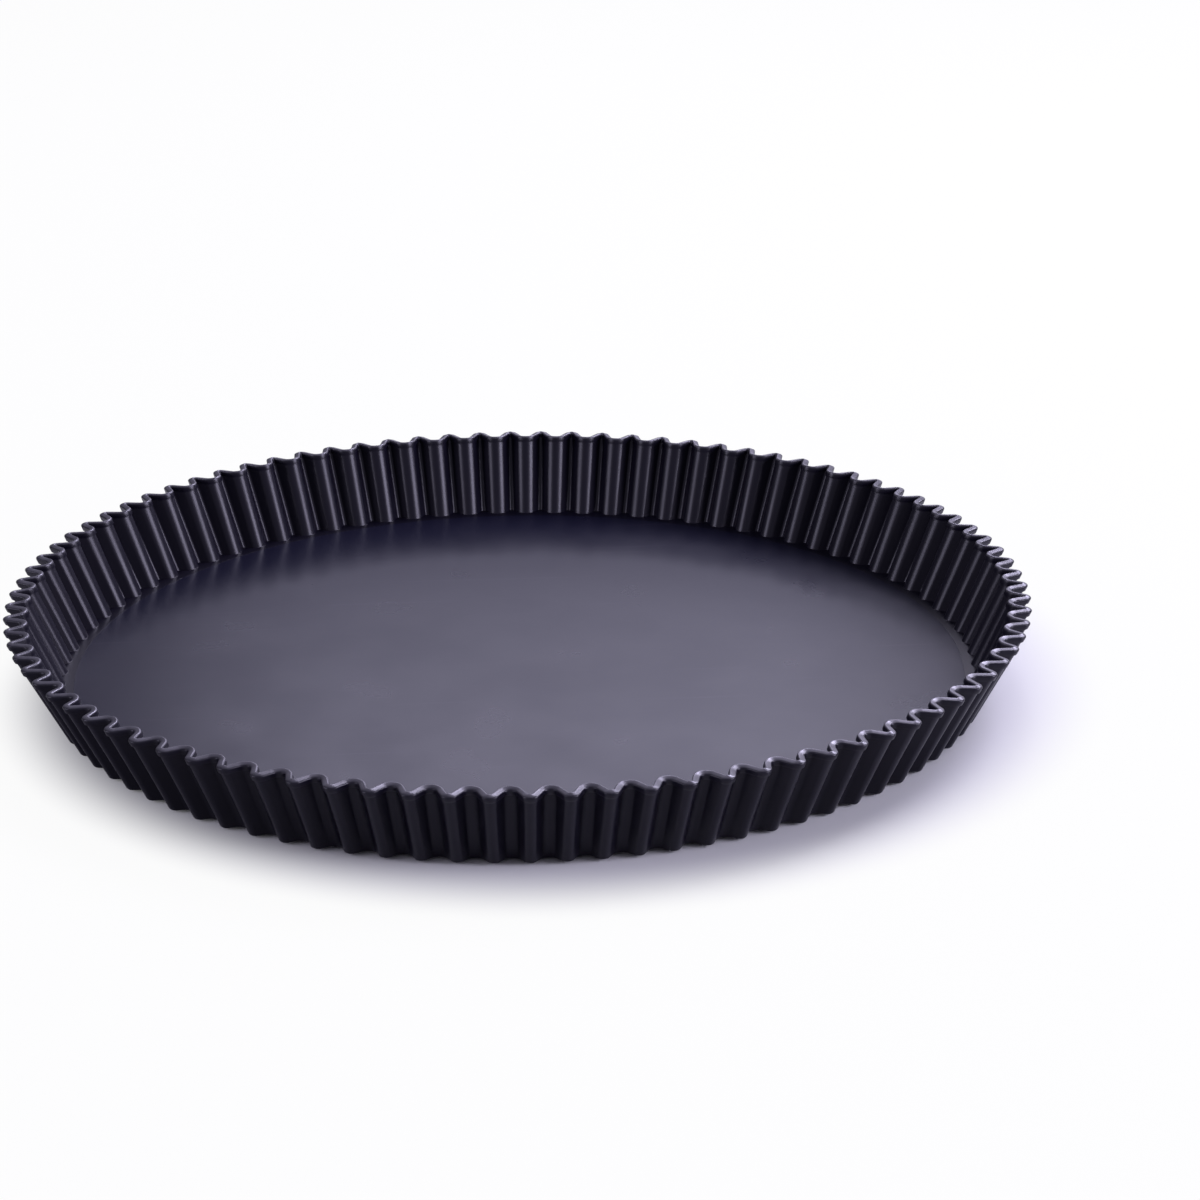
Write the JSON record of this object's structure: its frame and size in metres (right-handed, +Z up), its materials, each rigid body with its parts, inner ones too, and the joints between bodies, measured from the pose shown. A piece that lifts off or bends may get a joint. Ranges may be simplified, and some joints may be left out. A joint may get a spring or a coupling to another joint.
{
  "type": "flan pan",
  "caption": "Round flan pan with a flared, fluted wall and a loose flat base that lies flush in a stepped ledge and lifts out to free the flan.",
  "frame": {"origin": "on the pan's axis, in the plane that the pan stands on", "axes": "+Z up along the axis, from the ledge to the rim; +X through the middle of one flute's crest"},
  "size_m": [0.295, 0.2948, 0.025],
  "materials": {
    "ring_coat": "satin near-black release coating on sheet steel",
    "base_coat": "satin near-black release coating on sheet steel, lightly scuffed"
  },
  "bodies": {
    "ring": {"fluted_ring": "ring_coat"},
    "base": {"loose_base": "base_coat"}
  },
  "joints": [
    {"name": "base_lift", "type": "slide", "parent": "ring", "child": "base", "axis": [0, 0, 1], "range_m": [0, 0.05]}
  ]
}
